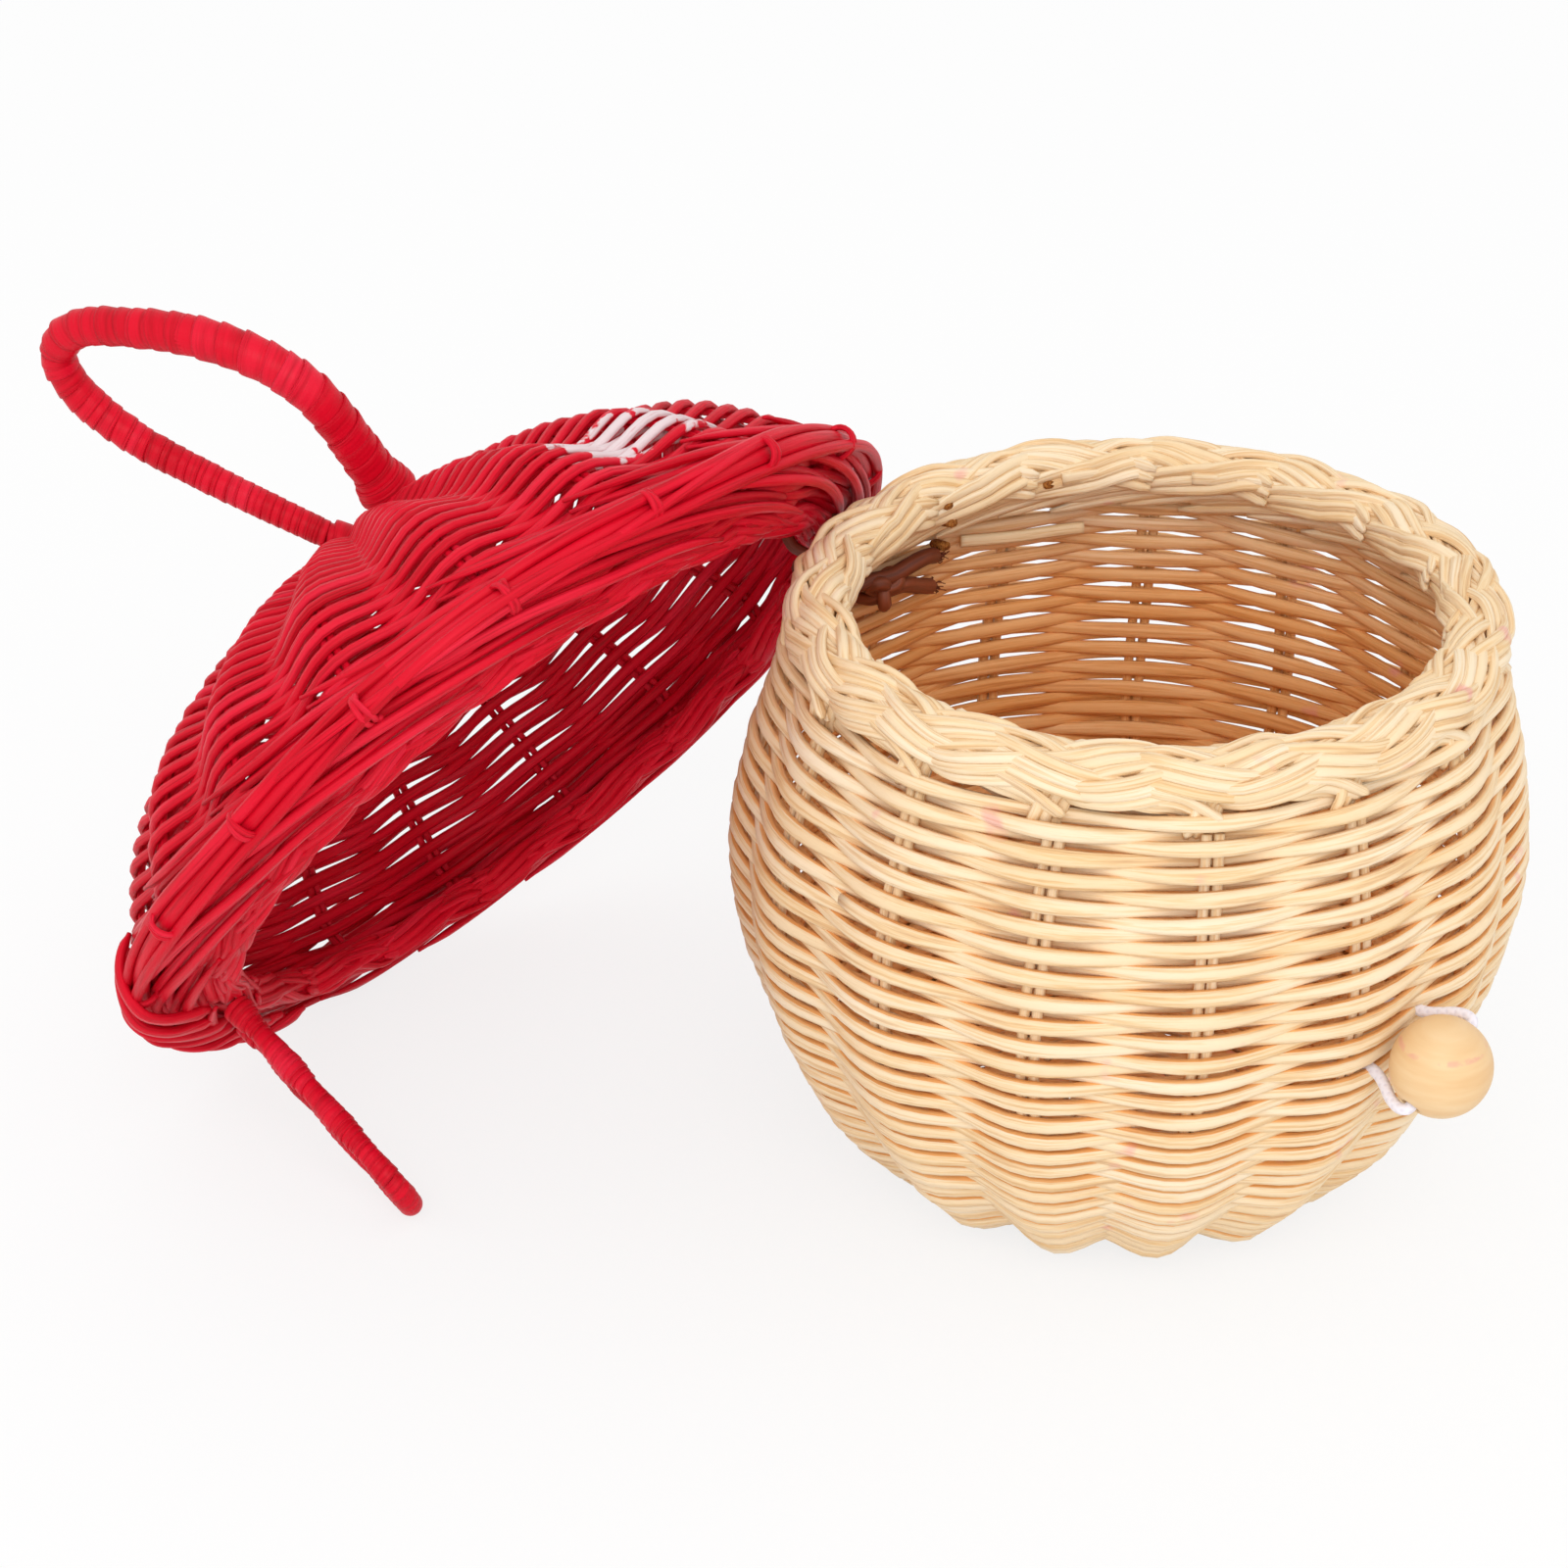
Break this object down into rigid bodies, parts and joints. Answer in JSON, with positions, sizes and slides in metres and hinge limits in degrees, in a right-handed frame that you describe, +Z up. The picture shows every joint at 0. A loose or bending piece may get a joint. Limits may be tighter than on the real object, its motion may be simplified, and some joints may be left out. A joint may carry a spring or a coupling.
{
  "type": "lidded rattan basket",
  "caption": "Round woven cane pot with a domed cane lid hinged on a cord tie, a carrying loop, a closing loop and a ball on elastic.",
  "frame": {"origin": "centre of the pot's base, on the surface it stands on", "axes": "+Z up, -Y to the front where the ball hangs, +Y to the cord that hinges the lid, +X to the right seen from the front"},
  "size_m": [0.2316, 0.2857, 0.1538],
  "materials": {
    "natural_cane": "bare peeled cane, satin",
    "red_cane": "dyed cane, satin",
    "pale_wood": "sanded bare wood",
    "white_elastic": "covered elastic",
    "brown_cord": "waxed cord"
  },
  "bodies": {
    "pot": {"elastic_cord": "white_elastic", "elastic_knot": "white_elastic", "hinge_tie": "brown_cord", "loose_tie": "brown_cord", "pot_base": "natural_cane", "pot_border": "natural_cane", "pot_stake_01": "natural_cane", "pot_stake_02": "natural_cane", "pot_stake_03": "natural_cane", "pot_stake_04": "natural_cane", "pot_stake_05": "natural_cane", "pot_stake_06": "natural_cane", "pot_stake_07": "natural_cane", "pot_stake_08": "natural_cane", "pot_stake_09": "natural_cane", "pot_stake_10": "natural_cane", "pot_stake_11": "natural_cane", "pot_stake_12": "natural_cane", "pot_stake_13": "natural_cane", "pot_stake_14": "natural_cane", "pot_stake_15": "natural_cane", "pot_wall": "natural_cane"},
    "hinge_knot": {"tie_knot": "brown_cord"},
    "lid": {"lid_border": "red_cane", "lid_dome": "red_cane", "lid_edge_hoop": "red_cane", "lid_flange": "red_cane", "lid_lashing_01": "red_cane", "lid_lashing_02": "red_cane", "lid_lashing_03": "red_cane", "lid_lashing_04": "red_cane", "lid_lashing_05": "red_cane", "lid_lashing_06": "red_cane", "lid_lashing_07": "red_cane", "lid_lashing_08": "red_cane", "lid_lashing_09": "red_cane", "lid_lashing_10": "red_cane", "lid_lashing_11": "red_cane", "lid_lashing_12": "red_cane", "lid_lashing_13": "red_cane", "lid_lashing_14": "red_cane", "lid_lashing_15": "red_cane", "lid_lashing_16": "red_cane", "lid_lashing_17": "red_cane", "lid_ribs": "red_cane"},
    "carrying_loop": {"handle_binding": "red_cane", "handle_core": "red_cane", "handle_foot_lashing_left": "red_cane", "handle_foot_lashing_right": "red_cane"},
    "closing_loop": {"tab_binding": "red_cane", "tab_core": "red_cane", "tab_root_lashing_left": "red_cane", "tab_root_lashing_right": "red_cane"},
    "button": {"button_ball": "pale_wood"}
  },
  "joints": [
    {"name": "lid_turn", "type": "hinge", "parent": "pot", "child": "hinge_knot", "pos_m": [-0.0071, 0.0709, 0.1079], "axis": [-0.0349, 0.8288, 0.5584], "range_deg": [0, 132.1], "deforming": ["hinge_tie"]},
    {"name": "lid_flap", "type": "hinge", "parent": "hinge_knot", "child": "lid", "pos_m": [-0.01289, 0.06802, 0.11115], "axis": [-0.6684, -0.4627, 0.5824], "range_deg": [0, 55], "deforming": ["hinge_tie"]},
    {"name": "closing_loop_swing", "type": "hinge", "parent": "lid", "child": "closing_loop", "pos_m": [-0.12202, 0.1173, 0.02789], "axis": [0.6684, 0.4627, -0.5824], "range_deg": [0, 42]},
    {"name": "carrying_loop_tilt", "type": "hinge", "parent": "lid", "child": "carrying_loop", "pos_m": [-0.07068, 0.13429, 0.10974], "axis": [0.0509, -0.5665, 0.8225], "range_deg": [-20, 20]},
    {"name": "ball_pull", "type": "slide", "parent": "pot", "child": "button", "axis": [-0.0628, -0.998, 0], "range_m": [0, 0.008], "stiffness_N_per_m": 120, "deforming": ["elastic_cord"]}
  ],
  "couplings": [
    {"joint": "closing_loop_swing", "follows": "lid_flap", "ratio": 0.76364}
  ]
}
